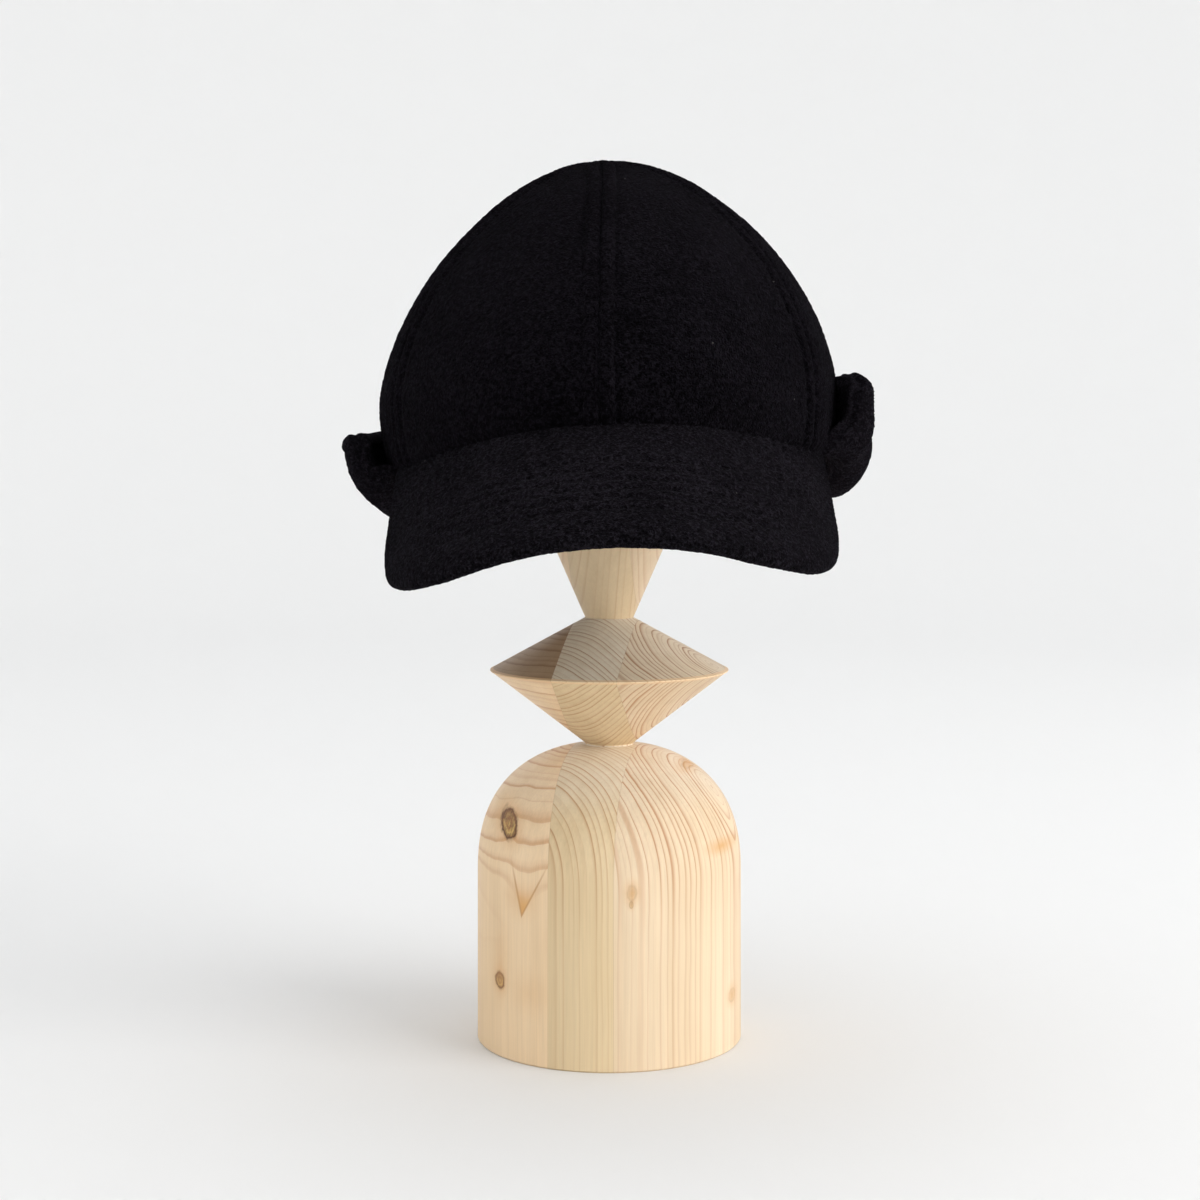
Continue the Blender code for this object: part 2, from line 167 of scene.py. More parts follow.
# Knots: centre across and up (m), half width and height (m), dark heart, warm halo (shares)
KNOTS = (
    (-0.0368, 0.0855, 0.0029, 0.0047, 1.00, 0.80),
    (-0.0401, 0.0282, 0.0016, 0.0028, 0.95, 0.50),
    (-0.0398, 0.0330, 0.0016, 0.0075, 0.00, 0.35),
    (0.0081, 0.0643, 0.0017, 0.0025, 0.18, 0.62),
    (0.0079, 0.0600, 0.0007, 0.0012, 0.35, 0.40),
    (0.0455, 0.0204, 0.0012, 0.0024, 0.16, 0.60),
    (0.0415, 0.0768, 0.0034, 0.0016, 0.00, 0.80),
    (0.0305, 0.1045, 0.0032, 0.0014, 0.15, 0.75),
    (-0.0322, 0.0600, 0.0034, 0.0040, 0.00, 0.40),
    (-0.0290, 0.0260, 0.0040, 0.0044, 0.00, 0.22),
)

# The flame in the left board: its middle, heights (m) between which the rings turn over, their
# shift (m), how steeply it opens to the left and right, and how rounded it is (m)
FLAME_ACROSS = -0.0316
FLAME_LOW, FLAME_HIGH = 0.0415, 0.0815
FLAME_SHIFT = 0.0064
FLAME_OPENS_LEFT, FLAME_OPENS_RIGHT = 0.30, 0.20
FLAME_ROUND = 0.0022

# The resin mark inside the flame: its tip across and up (m), how steep its two sides are, how
# high they reach (m), and half the width of its line (m)
RESIN_ACROSS, RESIN_TIP = -0.0318, 0.0538
RESIN_LEFT_SLOPE, RESIN_RIGHT_SLOPE = 5.0, 2.0
RESIN_HEIGHT = 0.0150
RESIN_LINE = 0.00032

# Camera, from the photograph's perspective
CAMERA_DISTANCE = 0.800
CAMERA_HEIGHT = 0.227
FOCAL_PIXELS = 2100
IMAGE_PIXELS = 1200
HORIZON_ROW = 438
AXIS_COLUMN = 609.3


def nothing_selected():
    if bpy.context.mode != "OBJECT":
        bpy.ops.object.mode_set(mode="OBJECT")
    bpy.ops.object.select_all(action="DESELECT")


def select_only(piece):
    nothing_selected()
    piece.select_set(True)
    bpy.context.view_layer.objects.active = piece


def named(name):
    piece = bpy.context.active_object
    piece.name = piece.data.name = name
    return piece


def placed(name, data):
    thing = bpy.data.objects.new(name, data)
    bpy.context.scene.collection.objects.link(thing)
    return thing


def points_of(piece):
    """The piece's vertices as an array, one row each."""
    flat = np.empty(len(piece.data.vertices) * 3, dtype=np.float32)
    piece.data.vertices.foreach_get("co", flat)
    return flat.reshape(-1, 3).astype(float)


def set_points(piece, points):
    piece.data.vertices.foreach_set("co", np.asarray(points, dtype=np.float32).ravel())
    piece.data.update()


def posed(points):
    """Cap points, tipped onto the stand."""
    pose = np.array(CAP_POSE)
    return points @ pose[:3, :3].T + pose[:3, 3]


def cut_cloth(name, columns, rows):
    """A flat square of cloth, and the column and the row of each of its vertices."""
    nothing_selected()
    bpy.ops.mesh.primitive_grid_add(x_subdivisions=columns, y_subdivisions=rows, size=1,
                                    location=(0.5, 0.5, 0))
    bpy.ops.object.transform_apply(location=True, rotation=True, scale=True)
    piece = named(name)
    places = np.round(points_of(piece) * (columns, rows, 0)).astype(int)
    return piece, places[:, 0], places[:, 1]


def in_edit_mode(piece, *steps):
    """Runs edit-mode steps on all of one piece."""
    select_only(piece)
    bpy.ops.object.mode_set(mode="EDIT")
    bpy.ops.mesh.select_mode(type="VERT")
    bpy.ops.mesh.select_all(action="SELECT")
    for step in steps:
        step()
    bpy.ops.object.mode_set(mode="OBJECT")


def merged(distance=0.00002):
    bpy.ops.mesh.remove_doubles(threshold=distance)


def turn_faces(inside=False):
    bpy.ops.mesh.normals_make_consistent(inside=inside)


def smooth(piece, angle):
    select_only(piece)
    bpy.ops.object.shade_smooth_by_angle(angle=math.radians(angle))


def closed_cloth(name, node, faces, angle, *steps):
    """One thick piece of cloth from its faces, in the place of a node."""
    nothing_selected()
    for face in faces:
        face.select_set(True)
    bpy.context.view_layer.objects.active = faces[0]
    bpy.ops.object.join()
    piece = named(name)
    in_edit_mode(piece, merged, *steps, turn_faces)
    smooth(piece, angle)
    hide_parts(node)
    return piece


def turned_piece(name, rows, steps, closeness, inside=False):
    """A piece turned round the Z axis from an outline of (radius, height) rows."""
    nothing_selected()
    bpy.ops.mesh.primitive_circle_add(vertices=len(rows), radius=0.1)
    piece = named(name)
    set_points(piece, np.array([(radius, 0.0, height) for radius, height in rows]))
    bpy.context.tool_settings.mesh_select_mode = (False, True, False)
    for edge in piece.data.edges:
        edge.select = set(edge.vertices) == {0, len(rows) - 1}
    bpy.ops.object.mode_set(mode="EDIT")
    bpy.ops.mesh.delete(type="EDGE")
    in_edit_mode(piece, lambda: bpy.ops.mesh.spin(steps=steps, angle=2 * math.pi,
                                                  center=(0, 0, 0), axis=(0, 0, 1)))
    in_edit_mode(piece, lambda: merged(closeness), lambda: turn_faces(inside))
    return piece


def ripple(points, size, seed):
    """A smooth, repeatable unevenness from -1 to 1 over points, about size across."""
    rng = np.random.default_rng(seed)
    total = np.zeros(len(points))
    for _ in range(7):
        way = rng.normal(size=3)
        way /= np.linalg.norm(way)
        total += np.sin(points @ way * 2 * math.pi / (size * rng.uniform(0.7, 1.5))
                        + rng.uniform(0, 2 * math.pi))
    return total / 3.5


def nap(count, seed):
    """Heights of the cloth's matted fibres, one for each vertex."""
    return np.clip(np.random.default_rng(seed).normal(size=count), -2.2, 2.2) * NAP


def eased(value):
    value = np.clip(value, 0, 1)
    return value * value * (3 - 2 * value)


def bell(offset, width):
    return np.exp(-(offset / width) ** 2)


def crown_plan(angle, height, inset):
    below = np.maximum(CROWN_WIDEST_HEIGHT - height, 0) / CROWN_WIDEST_HEIGHT
    share = 1 - CROWN_RIM_PULL * below ** 2
    return ((CROWN_HALF_WIDTH - inset) * share * np.sin(angle),
            -(CROWN_HALF_LENGTH - inset) * share * np.cos(angle))


PEAK_START = float(-crown_plan(0, PEAK_RISE, 0)[1])


def peak_point(across, forward, sink=0.0):
    """Points of the peak from its flat outline, sunk below the upper face."""
    bend = across / PEAK_BEND_RADIUS
    radius = PEAK_BEND_RADIUS - sink
    fall = PEAK_BEND_RADIUS - radius * np.cos(bend)
    return np.stack([radius * np.sin(bend),
                     -PEAK_START - forward * math.cos(PEAK_SLOPE) + fall * math.sin(PEAK_SLOPE),
                     PEAK_RISE - forward * math.sin(PEAK_SLOPE) - fall * math.cos(PEAK_SLOPE)],
                    axis=-1)


def peak_flat(x, y):
    """Where points of the plan lie on the peak's flat outline."""
    bend = np.arcsin(x / PEAK_BEND_RADIUS)
    fall = PEAK_BEND_RADIUS * (1 - np.cos(bend))
    forward = (fall * math.sin(PEAK_SLOPE) - PEAK_START - y) / math.cos(PEAK_SLOPE)
    return PEAK_BEND_RADIUS * bend, forward


def rim_height(angle):
    """Height of the crown's lower edge: level, but raised over the peak at the front."""
    angle = (np.asarray(angle, dtype=float) + math.pi) % (2 * math.pi) - math.pi
    held = np.clip(angle, -PEAK_END_ANGLE, PEAK_END_ANGLE)
    height = np.full(held.shape, PEAK_RISE)
    for _ in range(12):
        height = peak_point(*peak_flat(*crown_plan(held, height, PEAK_SEAT)))[..., 2]
    return np.where(abs(angle) > PEAK_END_ANGLE, 0.0, np.maximum(height, 0.0))


def crown_point(angle, way, inset):
    """Points of the crown's wall: way is 0 at the rim and 1 at the top."""
    rise = CROWN_HEIGHT - CROWN_WIDEST_HEIGHT
    low = np.maximum(CROWN_WIDEST_HEIGHT - rim_height(angle), 0)
    start = -np.arcsin((low / rise) ** (CROWN_POWER / 2))
    turn = start + (math.pi / 2 - start) * way
    across = np.maximum(np.cos(np.maximum(turn, 0)), 0) ** (2 / CROWN_POWER)
    up = np.sin(np.maximum(turn, 0)) ** (2 / CROWN_POWER)
    under = np.sin(np.maximum(-turn, 0)) ** (2 / CROWN_POWER)
    height = CROWN_WIDEST_HEIGHT + (rise - inset) * up - rise * under
    x, y = crown_plan(angle, height, inset)
    sway = CROWN_SWAY * up + CROWN_TIP_SHIFT * (1 - across) ** CROWN_TIP_POWER
    return np.stack([x * across + sway, y * across, height], axis=-1)


def ridge_lift(distance):
    """Height of the seam's ridge at a distance from the seam: groove, ridge, stitched groove."""
    share = distance / RIDGE_WIDTH
    ridge = np.sin(np.clip(share, 0, 1) * math.pi) ** 0.6 * RIDGE_LIFT
    seam = bell(distance, 0.0009) * 0.0009
    groove = bell(distance - RIDGE_WIDTH, GROOVE_WIDTH) * GROOVE_DEPTH
    swell = bell(share - 1.55, 0.38) * 0.0003
    return ridge - seam - groove + swell


# Soft dents and swells of the crown: angle, way up, spread of each, depth (mm)
CROWN_FOLDS = (
    (-34, 0.42, 9, 0.16, -0.9),
    (-22, 0.62, 12, 0.14, 0.5),
    (-48, 0.25, 8, 0.16, 0.5),
    (26, 0.48, 12, 0.24, 0.7),
    (44, 0.30, 9, 0.18, -0.6),
    (92, 0.35, 16, 0.20, -0.9),
    (-92, 0.38, 16, 0.20, -0.8),
    (148, 0.40, 14, 0.22, 0.8),
    (-150, 0.36, 14, 0.22, -0.7),
    (118, 0.65, 12, 0.14, 0.5),
    (-120, 0.62, 12, 0.14, -0.4),
)


def crown_softness(angle, way):
    degrees = (np.degrees(angle) + 180) % 360 - 180
    total = np.zeros(np.broadcast(angle, way).shape)
    for at, up, wide, tall, depth in CROWN_FOLDS:
        aside = (degrees - at + 180) % 360 - 180
        total = total + depth * 0.001 * np.exp(-(aside / wide) ** 2 - ((way - up) / tall) ** 2)
    return total


def out_from_tip(first_angle, way):
    """How far a panel's middle lies out from the crown's tip, seen from above."""
    middle = np.full(np.shape(way), first_angle + PANEL_ANGLE / 2)
    tip = crown_point(middle, np.ones_like(middle), 0.0)
    return np.linalg.norm((crown_point(middle, way, 0.0) - tip)[..., :2], axis=-1)


def panel_surface(first_angle, share, way, sink=0.0):
    """Points of one crown panel: share runs from seam to seam, way from the rim to the top, and
    sink is the depth below the outer face."""
    out = out_from_tip(first_angle, way)
    half_width = np.maximum(out * PANEL_ANGLE / 2, 1e-5)
    distance = np.minimum(share, 1 - share) * 2 * half_width
    narrow = np.clip(half_width / SEAM_NARROWS, 0, 1)
    lap = np.minimum(SEAM_LAP / np.maximum(out, 1e-6), 0.05)
    angle = first_angle - lap + (PANEL_ANGLE + 2 * lap) * share
    lift = ridge_lift(distance / np.maximum(narrow, 0.05)) * narrow
    hem = bell(way + HEM_LAP, 0.016) * 0.0011
    return crown_point(angle, way, sink - (lift + crown_softness(angle, way) * narrow - hem))


def make_panel(name, node, first_angle):
    """A thick wall of cloth: its outer and inner face, which meet in the middle of its edges."""
    faces = []
    columns, rows = 112, 148
    for inner in (False, True):
        face, column, row = cut_cloth("panel_face", columns, rows)
        across = np.clip((column - 1) / (columns - 2), 0, 1) * 2 - 1
        share = ((across + np.sin(across * math.pi / 2)) / 2 + 1) / 2
        way = np.clip((row - 1) / (rows - 2), 0, 1) * (1 + HEM_LAP) - HEM_LAP
        rim = (column == 0) | (column == columns) | (row == 0) | (row == rows)
        sink = np.where(rim, CROWN_WALL / 2, CROWN_WALL if inner else 0.0)
        points = panel_surface(first_angle, share, way, sink)
        outward = points - np.array([0, 0, 0.02])
        outward /= np.linalg.norm(outward, axis=1)[:, None]
        free = (np.minimum(share, 1 - share) > 0.004) * np.clip((0.985 - way) / 0.02, 0, 1) * ~rim
        jitter = nap(len(points), 3) * free * (not inner)
        points += outward * (ripple(points, 0.035, 3) * 0.00015 + jitter)[:, None]
        set_points(face, posed(points))
        faces.append(face)
    return closed_cloth(name, node, faces, 50)


def shield(front_inset=0.0, side_inset=0.0, corner=PEAK_CORNER_RADIUS):
    """The arcs of the peak's flat outline, or of a row of stitches inside it."""
    front = PEAK_FRONT_RADIUS - front_inset
    centre = PEAK_LENGTH - PEAK_FRONT_RADIUS
    corner_across = PEAK_HALF_WIDTH - side_inset - corner
    turn = math.asin(corner_across / (front - corner))
    corner_forward = centre + (front - corner) * math.cos(turn)
    return front, centre, corner, corner_across, turn, corner_forward


def along_shield(arcs, share):
    """Points of a shield's outline: share runs from -1 to 1."""
    front, centre, corner, corner_across, turn, corner_forward = arcs
    end = float(peak_flat(*crown_plan(PEAK_END_ANGLE, 0, PEAK_SEAT))[1])
    front_run = front * turn
    corner_run = corner * (math.pi / 2 - turn)
    run = abs(share) * (front_run + corner_run + corner_forward - end)
    bearing = np.minimum(run, front_run) / front
    corner_turn = turn + np.clip(run - front_run, 0, corner_run) / corner
    past = np.maximum(run - front_run - corner_run, 0)
    at_front = run < front_run
    across = np.where(at_front, front * np.sin(bearing),
                      corner_across + corner * np.sin(corner_turn))
    forward = np.where(at_front, centre + front * np.cos(bearing),
                       corner_forward + corner * np.cos(corner_turn) - past)
    return np.sign(share) * across, forward


def inside_shield(arcs, across, forward):
    """How far points of the flat peak lie inside a shield's outline."""
    front, centre, corner, corner_across, turn, corner_forward = arcs
    across = abs(across)
    bearing = np.arctan2(across, forward - centre)
    from_front = front - np.hypot(across, forward - centre)
    from_corner = corner - np.hypot(across - corner_across, forward - corner_forward)
    from_side = corner_across + corner - across
    return np.where(forward < corner_forward, from_side,
                    np.where(bearing < turn, from_front, from_corner))


PEAK_OUTLINE = shield()
STITCH_ROWS = [shield(0.0168 + 0.0058 * row, 0.0225 + 0.0043 * row, 0.036 - 0.0035 * row)
               for row in range(PEAK_STITCH_ROWS)]


def peak_relief(across, forward):
    """Quilting of the peak's upper face: grooves at the stitch rows, soft swells between."""
    total = np.zeros(np.shape(across))
    for arcs in STITCH_ROWS:
        off = inside_shield(arcs, across, forward)
        total += (bell(abs(off) - 0.0026, 0.0016) * 0.00012
                  - bell(off, GROOVE_WIDTH) * GROOVE_DEPTH * 1.1)
    return total


def peak_face(share, stop, side):
    """Points of the peak's upper (side 1) or lower (side -1) face."""
    half = PEAK_THICKNESS / 2
    angle = share * PEAK_END_ANGLE
    back = peak_flat(*crown_plan(angle, rim_height(angle), PEAK_SEAT))
    edge = along_shield(PEAK_OUTLINE, share)
    across = back[0] + (edge[0] - back[0]) * stop
    forward = back[1] + (edge[1] - back[1]) * stop
    distance = np.maximum(inside_shield(PEAK_OUTLINE, across, forward), 0)
    roundness = PEAK_TOP_ROUND if side > 0 else half
    round_off = np.sqrt(np.maximum(1 - np.maximum(1 - distance / roundness, 0) ** 2, 0))
    plump = 1 + 0.14 * bell(distance - 0.008, 0.005)
    sink = half - side * half * round_off * plump
    if side > 0:
        sink = sink - peak_relief(across, forward)
    return peak_point(across, forward, sink), distance


def peak_facing(bend):
    return np.stack([np.sin(bend), -np.cos(bend) * math.sin(PEAK_SLOPE),
                     np.cos(bend) * math.cos(PEAK_SLOPE)], axis=1)


def make_peak():
    columns, rows = 290, 128
    faces = []
    for side in (1, -1):
        face, column, row = cut_cloth("peak_face", columns, rows)
        share, forward = column / columns * 2 - 1, row / rows
        stop = np.sin(forward * math.pi / 2) * 0.45 + forward * 0.55
        points, distance = peak_face(share, stop, side)
        normals = side * peak_facing(share * PEAK_END_ANGLE)
        inner_grid = (distance > 0.0002) * (forward > 0.01)
        points += normals * (nap(len(points), 7 + side) * inner_grid)[:, None]
        points += ripple(points, 0.03, 5)[:, None] * 0.00015
        set_points(face, posed(points))
        faces.append(face)
    return closed_cloth("stitched_peak", "peak", faces, 60, close_back)


def close_back():
    """Bridges the two open edges that are left, upper and lower."""
    bpy.ops.mesh.select_all(action="DESELECT")
    bpy.ops.mesh.select_non_manifold(extend=False, use_wire=False, use_boundary=True,
                                     use_multi_face=False, use_non_contiguous=False,
                                     use_verts=False)
    bpy.ops.mesh.edge_face_add()
    bpy.ops.mesh.select_all(action="SELECT")
    bpy.ops.mesh.quads_convert_to_tris()


def blended(table, way):
    """The values of a table at a way along it, eased between its rows."""
    rows = np.array(table)
    at = np.clip(np.searchsorted(rows[:, 0], way, side="right") - 1, 0, len(rows) - 2)
    share = eased((way - rows[at, 0]) / (rows[at + 1, 0] - rows[at, 0]))
    return [rows[at, column] + (rows[at + 1, column] - rows[at, column]) * share
            for column in range(1, rows.shape[1])]


def fold_squeeze(side, from_end, run):
    """Room for the cloth on the inside of the fold."""
    (drop, _, _), (fold, first, last), _, _ = flap_course(side, from_end)
    beside = np.maximum(np.maximum(drop - run, run - drop - fold), 0)
    return 0.8 * fold / (last - first) + 0.55 * beside


def flap_half(distance, run, to_back):
    """Half thickness of the flap: rounded at the free edge, thick over the seam allowance inside
    it, a stitched groove, then the band's own, thinner again where it is sewn to the rim."""
    full, body = FLAP_EDGE_THICKNESS / 2, FLAP_THICKNESS / 2
    rounded = np.sqrt(np.maximum(1 - np.maximum(1 - distance / full, 0) ** 2, 0))
    inward = eased((distance - 0.55 * FLAP_EDGE_WIDTH) / (1.6 * FLAP_EDGE_WIDTH))
    groove = bell(distance - FLAP_EDGE_WIDTH, GROOVE_WIDTH) * GROOVE_DEPTH
    half = rounded * (full + (body - full) * inward) - groove * eased(run / 0.02)
    at_rim = FLAP_SEAM_THICKNESS / 2
    half = np.minimum(half, at_rim + (full - at_rim) * eased(run / 0.010))
    return half - bell(to_back, 0.0012) * 0.0007 * (half > at_rim)


def flap_course(side, from_end):
    """The band's course at a place: (length, turn at its start, turn at its end) of its drop,
    its tight fold, its wide curve and its upright."""
    start, drop, tight, wide, lean, height = blended(FLAP_SECTIONS[side],
                                                     np.clip(from_end / FLAP_LENGTH, 0, 1))
    start, lean = np.radians(start), np.radians(lean)
    drop, tight, wide = drop * FLAP_DROP, tight * FLAP_FOLD_RADIUS, wide * FLAP_FOLD_RADIUS
    knee = np.maximum(FLAP_KNEE, start + 0.05)
    end = math.pi - lean
    folds_up = (-np.cos(start) * drop - tight * (np.sin(knee) - np.sin(start))
                - wide * (np.sin(end) - np.sin(knee)))
    upright = (height * FLAP_HEIGHT - folds_up) / np.cos(lean)
    return ((drop, start, start), (tight * (knee - start), start, knee),
            (wide * (end - knee), knee, end), (np.maximum(upright, 0.001), end, end))


def flap_run(side, from_end):
    """Length of the band from the rim, round the fold, to its free edge."""
    return sum(length for length, _, _ in flap_course(side, from_end))


def flap_middle(side, from_end, run):
    """Middle of the band's thickness, and the way it faces: out of the crown before the fold."""
    out, up = np.zeros_like(run), np.full_like(run, -GAP)
    turned, left = None, run
    for length, first, last in flap_course(side, from_end):
        part = np.clip(left, 0, length)
        bend = (last - first) / length
        now = first + bend * part
        straight = abs(bend) < 1e-6
        bend = np.where(straight, 1.0, bend)
        out = out + np.where(straight, np.sin(first) * part, (np.cos(first) - np.cos(now)) / bend)
        up = up - np.where(straight, np.cos(first) * part, (np.sin(now) - np.sin(first)) / bend)
        turned = now if turned is None else np.where(left > 0, now, turned)
        left = left - length
    angle = FLAP_START_ANGLE + (math.pi - FLAP_START_ANGLE) * np.clip(from_end / FLAP_LENGTH, 0, 1)
    x, y = crown_plan(angle, np.zeros_like(angle), CROWN_WALL / 2)
    plan = np.stack([np.sin(angle) / CROWN_HALF_WIDTH, -np.cos(angle) / CROWN_HALF_LENGTH])
    plan = plan / np.linalg.norm(plan, axis=0)
    mirror = 1 if side == "right" else -1
    place = np.stack([mirror * (x + plan[0] * out), y + plan[1] * out, up], axis=-1)
    facing = np.stack([mirror * plan[0] * np.cos(turned), plan[1] * np.cos(turned),
                       np.sin(turned)], axis=-1)
    return place, facing


def flap_surface(side, face, from_end, run):
    """Points of the band's inner (face 1, towards the crown above the fold) or outer face."""
    total = flap_run(side, from_end)
    corner = FLAP_CORNER_RADIUS
    aside = np.clip((corner - from_end) / corner, 0, 1)
    high = np.clip((run - total + corner) / corner, 0, 1)
    round_aside = aside * np.sqrt(1 - high ** 2 / 2)
    round_high = high * np.sqrt(1 - aside ** 2 / 2)
    from_end = np.where(aside > 0, corner - corner * round_aside, from_end)
    run = np.where(high > 0, total - corner + corner * round_high, run)
    in_corner = (aside > 0) & (high > 0)
    reach = np.hypot(round_aside, round_high)
    distance = np.where(in_corner, corner * (1 - reach), np.minimum(from_end, total - run))
    distance = np.maximum(distance, 0)
    half = flap_half(distance, run, FLAP_LENGTH - from_end)
    if face > 0:
        half = np.minimum(half, fold_squeeze(side, from_end, run))
    dent = EDGE_DENT * bell(half, 0.0014) * eased(run / 0.01)
    nearer_end = from_end < total - run
    away = np.where(in_corner, round_aside / np.maximum(reach, 1e-6), nearer_end * 1.0)
    over = np.where(in_corner, round_high / np.maximum(reach, 1e-6), 1.0 - nearer_end)
    place, facing = flap_middle(side, from_end + away * dent, run - over * dent)
    return place, facing * face, half


def flap_steps(count, place, total):
    """Places along total: even steps, then the shorter ones of a rounded edge."""
    full = FLAP_EDGE_THICKNESS / 2
    even = count - FLAP_EDGE_STEPS
    body = np.concatenate([[0.0], np.linspace(0, 1, even), np.ones(FLAP_EDGE_STEPS)])
    turn = np.linspace(0, math.pi / 2, FLAP_EDGE_STEPS + 1)[1:]
    edge = np.concatenate([np.zeros(even + 1), np.sin(turn)])
    return body[place] * (total - full) + edge[place] * full


def make_flap(name, node, side):
    faces = []
    for face in (1, -1):
        cloth, column, row = cut_cloth("flap_face", FLAP_COLUMNS, FLAP_ROWS)
        from_end = FLAP_LENGTH - flap_steps(FLAP_COLUMNS, column, FLAP_LENGTH)
        run = flap_steps(FLAP_ROWS, row, flap_run(side, from_end))
        place, facing, half = flap_surface(side, face, from_end, run)
        half = np.where((column == 0) | (row == 0), 0.0, half)
        jitter = nap(len(half), 13 + face) * (half > 0.0004)
        points = place + facing * (half + jitter)[:, None]
        points += ripple(points, 0.045, 11)[:, None] * 0.0004 * eased(run / 0.02)[:, None]
        set_points(cloth, posed(points))
        faces.append(cloth)
    return closed_cloth(name, node, faces, 60)


def rounded_rise(power, turn):
    return np.maximum(np.cos(turn), 0) ** (2 / power), np.maximum(np.sin(turn), 0) ** (2 / power)


def stand_profile():
    """The turned outline, from the foot's centre to the head's top, as (radius, height) rows."""
    shoulder = HEAD_START + (HEAD_RADIUS - NECK_RADIUS) / math.tan(HEAD_HALF_ANGLE)
    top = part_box("stand_head")[1][2]
    rows = [(0.0, 0.0), (BASE_RADIUS - FOOT_BEVEL, 0.0), (BASE_RADIUS, FOOT_BEVEL)]
    last_turn = math.acos((NECK_RADIUS / BASE_RADIUS) ** (DOME_POWER / 2))
    for step in range(41):
        across, up = rounded_rise(DOME_POWER, last_turn * step / 40)
        rows.append((BASE_RADIUS * across, BASE_WALL_HEIGHT + DOME_RISE * up))
    rows.append((NECK_RADIUS, NECK_HEIGHT + 0.0002))
    for inward, up in ((2, -1.6), (0, -0.5), (0, 0.5), (2, 1.4)):
        rows.append((RIM_RADIUS - inward * RIM_EDGE, RIM_HEIGHT + up * RIM_EDGE))
    rows.append((NECK_RADIUS, HEAD_START))
    for step in range(24):
        across, up = rounded_rise(2, math.pi / 2 * step / 24)
        rows.append((HEAD_RADIUS * across, shoulder + (top - shoulder) * up))
    return rows + [(0.0, top)]


def make_stand():
    stand = turned_piece("turned_stand", stand_profile(), 192, 0.00002)
    smooth(stand, 25)
    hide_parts("stand_base", "stand_double_cone", "stand_head")
    return stand


def one_stitch():
    """A single visible stitch, lying along X: a short thread whose ends dip into the cloth."""
    nothing_selected()
    bpy.ops.mesh.primitive_cylinder_add(vertices=6, radius=THREAD_RADIUS, depth=STITCH_LENGTH,
                                        rotation=(0, math.pi / 2, 0), end_fill_type="TRIFAN")
    bpy.ops.object.transform_apply(location=True, rotation=True, scale=True)
    stitch = bpy.context.active_object
    for cut in (-STITCH_LENGTH / 6, STITCH_LENGTH / 6):
        in_edit_mode(stitch, lambda: bpy.ops.mesh.bisect(plane_co=(cut, 0, 0),
                                                         plane_no=(1, 0, 0)))
    points = points_of(stitch)
    share = abs(points[:, 0]) / (STITCH_LENGTH / 2)
    points[:, 1:] *= (1 - 0.45 * share ** 2)[:, None]
    points[:, 2] -= 0.00035 * share ** 2
    set_points(stitch, points)
    return stitch


def between(at, run, rows):
    return np.array([np.interp(at, run, rows[:, axis]) for axis in range(3)])


def sew(name, lines):
    """Copies the stitch along lines, each a (points, normals) pair in the cap's own place."""
    unit = one_stitch()
    shape = points_of(unit)
    faces = [list(face.vertices) for face in unit.data.polygons]
    all_points, all_faces = [], []
    for points, normals in lines:
        steps = np.linalg.norm(np.diff(points, axis=0), axis=1)
        run = np.concatenate([[0], np.cumsum(steps)])
        count = int(run[-1] // STITCH_PITCH)
        for number in range(count):
            at = (number + 0.5) * run[-1] / count
            ahead = between(at + 0.0008, run, points) - between(at - 0.0008, run, points)
            ahead /= np.linalg.norm(ahead)
            aside = np.cross(between(at, run, normals), ahead)
            aside /= np.linalg.norm(aside)
            first = len(all_points) * len(shape)
            axes = np.stack([ahead, aside, np.cross(ahead, aside)])
            all_points.append(between(at, run, points) + shape @ axes)
            all_faces += [[index + first for index in face] for face in faces]
    bpy.data.objects.remove(unit, do_unlink=True)
    mesh = bpy.data.meshes.new(name)
    mesh.from_pydata(posed(np.concatenate(all_points)).tolist(), [], all_faces)
    mesh.update()
    piece = placed(name, mesh)
    smooth(piece, 60)
    return piece


def line_on(surface, first, second):
    """Points and normals along a line on a surface given by two coordinates."""
    step = 1e-4
    points = surface(first, second)
    along = surface(first + step, second) - points
    over = surface(first, second + step) - points
    normals = np.cross(along, over)
    normals /= np.maximum(np.linalg.norm(normals, axis=1), 1e-12)[:, None]
    return points, normals


def crown_stitches(name, first_angle):
    way = np.linspace(0.012, 0.93, 260)
    half_width = out_from_tip(first_angle, way) * PANEL_ANGLE / 2
    narrow = np.clip(half_width / SEAM_NARROWS, 0, 1)
    inward = RIDGE_WIDTH * narrow / (2 * half_width)
    lines = []
    for share in (inward, 1 - inward):
        points, normals = line_on(lambda a, b: panel_surface(first_angle, a, b), share, way)
        normals *= np.sign((normals * (points - [0, 0, 0.03])).sum(1))[:, None]
        lines.append((points, normals))
    return sew(name, lines)


def peak_stitches():
    lines = []
    for arcs in STITCH_ROWS:
        across, forward = along_shield(arcs, np.linspace(-1, 1, 500))
        points = peak_point(across, forward, -peak_relief(across, forward))
        angle = np.arctan2(points[:, 0], -points[:, 1])
        seat_x, seat_y = crown_plan(angle, rim_height(angle), 0.0)
        outside = np.hypot(points[:, 0], points[:, 1]) > np.hypot(seat_x, seat_y) + 0.0012
        lines.append((points[outside], peak_facing(across[outside] / PEAK_BEND_RADIUS)))
    return sew("peak_stitching", lines)


def flap_stitches(name, side):
    """Stitches along the free edge, on both faces."""
    from_end = np.linspace(FLAP_EDGE_WIDTH, FLAP_LENGTH - 0.002, 400)
    lines = []
    for face in (1, -1):
        run = flap_run(side, from_end) - FLAP_EDGE_WIDTH
        place, facing, half = flap_surface(side, face, from_end, run)
        lines.append((place + facing * half[:, None], facing))
    return sew(name, lines)


# Materials

